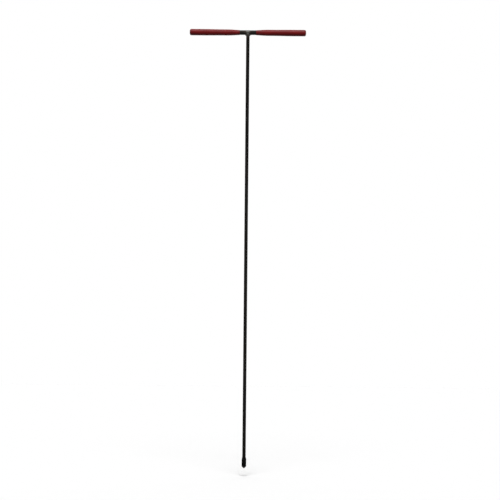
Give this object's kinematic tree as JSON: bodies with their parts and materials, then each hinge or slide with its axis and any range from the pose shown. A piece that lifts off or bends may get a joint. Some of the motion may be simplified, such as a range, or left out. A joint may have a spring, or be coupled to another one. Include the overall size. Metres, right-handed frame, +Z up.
{
  "type": "probing rod",
  "caption": "T-handled probing rod: a slim steel rod welded under a cross bar with red vinyl grips, and a blunt screw-on tip, pushed into soil to feel for buried pipes, tanks or rock.",
  "frame": {"origin": "the point of the tip, on the rod's axis, from which depth in the soil is measured", "axes": "+Z up along the rod to the handle, +X along the cross bar to the right, +Y away from the viewer of the picture"},
  "size_m": [0.3236, 0.018, 1.219],
  "materials": {
    "black_steel": "satin",
    "dark_spring_steel": "satin",
    "weld_metal": "satin",
    "red_vinyl": "satin",
    "hardened_black_steel": "satin"
  },
  "bodies": {
    "rod_and_handle": {"cross_bar": "black_steel", "probe_rod": "dark_spring_steel", "t_joint_weld": "weld_metal", "left_grip": "red_vinyl", "right_grip": "red_vinyl"},
    "tip": {"probe_tip": "hardened_black_steel"}
  },
  "joints": [
    {"name": "tip_unscrew", "type": "slide", "parent": "rod_and_handle", "child": "tip", "axis": [0, 0, -1], "range_m": [0, 0.02]}
  ]
}
